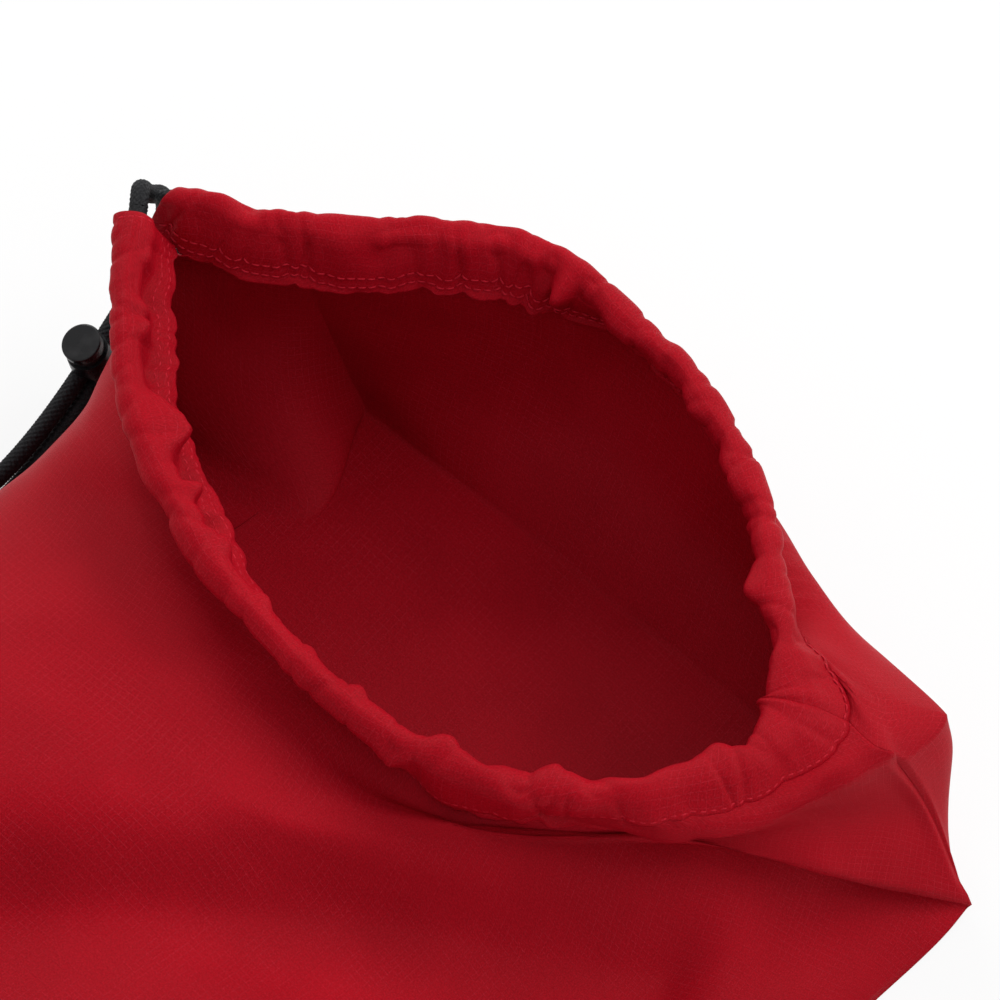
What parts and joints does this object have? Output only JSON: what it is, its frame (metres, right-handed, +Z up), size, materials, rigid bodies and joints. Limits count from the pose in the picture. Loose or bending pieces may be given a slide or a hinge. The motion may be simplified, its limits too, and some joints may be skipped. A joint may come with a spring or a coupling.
{
  "type": "drawstring rope bag",
  "caption": "Soft ripstop drawstring bag for a throw rope, lying open-mouthed, with a corded casing, two cord tails, a push-button cord lock and a webbing loop at the base.",
  "frame": {"origin": "middle of the bag's footprint, on the surface it lies on, measured without the free cord tails and what is on them", "axes": "+Y along the bag from its base to its mouth, +X across the bag to the right seen from above with the mouth ahead, +Z up"},
  "size_m": [0.2922, 0.3878, 0.0803],
  "materials": {
    "ripstop_red": "coated ripstop nylon with a soft sheen",
    "binding_red": "plain woven binding tape",
    "webbing_black": "flat woven nylon webbing",
    "cord_black": "braided nylon cord",
    "lock_plastic": "satin moulded acetal",
    "spring_steel": "drawn wire"
  },
  "bodies": {
    "bag": {"front_panel": "ripstop_red", "back_panel": "ripstop_red", "back_mouth_wall": "ripstop_red", "seam_binding_left": "binding_red", "seam_binding_right": "binding_red", "base_binding": "binding_red", "base_loop": "webbing_black", "casing_front": "ripstop_red", "casing_back": "ripstop_red", "drawcord": "cord_black", "tail_front": "cord_black", "tail_back": "cord_black", "tail_knot": "cord_black"},
    "lock": {"lock_barrel": "lock_plastic", "lock_spring": "spring_steel"},
    "button": {"lock_plunger": "lock_plastic"}
  },
  "joints": [
    {"name": "lock_slide", "type": "slide", "parent": "bag", "child": "lock", "axis": [-0.2199, 0.9498, 0.2226], "range_m": [-0.014, 0.01]},
    {"name": "button_press", "type": "slide", "parent": "lock", "child": "button", "axis": [0.133, 0.2549, -0.9578], "range_m": [0, 0.0022], "stiffness_N_per_m": 1500, "springref_m": -0.0015, "deforming": ["lock_spring"]}
  ]
}
